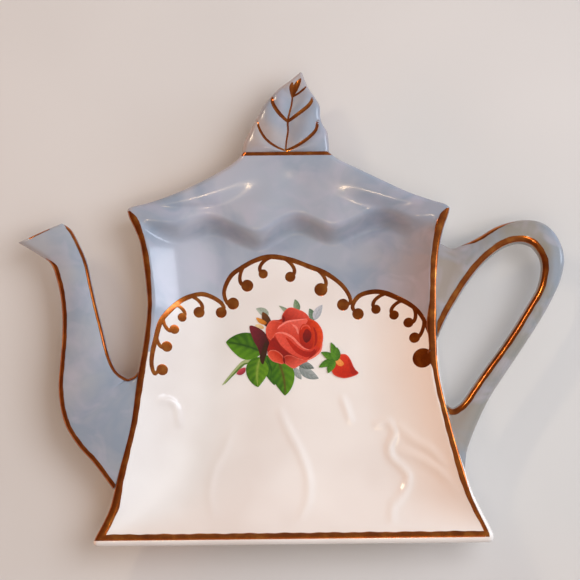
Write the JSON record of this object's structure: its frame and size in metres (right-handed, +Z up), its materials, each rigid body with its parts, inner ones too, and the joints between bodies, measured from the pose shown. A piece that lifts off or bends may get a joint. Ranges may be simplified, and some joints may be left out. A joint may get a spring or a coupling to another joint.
{
  "type": "tea bag rest",
  "caption": "Shallow porcelain tea bag rest in the outline of a teapot, with a coved dish, flat spout, open handle, leaf finial, gold lines and a rose spray.",
  "frame": {"origin": "centre of the bounding box, on the surface that the rest stands on", "axes": "+X from the spout towards the handle, +Y from the base edge towards the leaf, +Z up out of the dish"},
  "size_m": [0.12, 0.104, 0.0125],
  "materials": {
    "porcelain": "glossy white glaze, blue-grey lustre on its upper part",
    "bare_foot": "unglazed, matt",
    "lustre": "glossy mother-of-pearl lustre, cloudy blue-grey",
    "gold": "bright fired gold",
    "rose_red": "glossy printed transfer",
    "leaf_green": "glossy printed transfer"
  },
  "bodies": {
    "root": {"dish": "porcelain", "foot_ring": "bare_foot", "spout": "lustre", "handle": "lustre", "leaf_finial": "lustre", "left_rim_gold": "gold", "right_rim_gold": "gold", "base_rim_gold": "gold", "spout_edge_gold": "gold", "handle_loop_gold": "gold", "handle_edge_gold": "gold", "finial_base_gold": "gold", "leaf_vein_gold": "gold", "left_arch_gold": "gold", "centre_arch_gold": "gold", "right_arch_gold": "gold", "left_curl_gold": "gold", "centre_curl_gold": "gold", "right_curl_gold": "gold", "rose_transfer": "rose_red", "bud_transfer": "rose_red", "foliage_transfer": "leaf_green"}
  },
  "joints": []
}
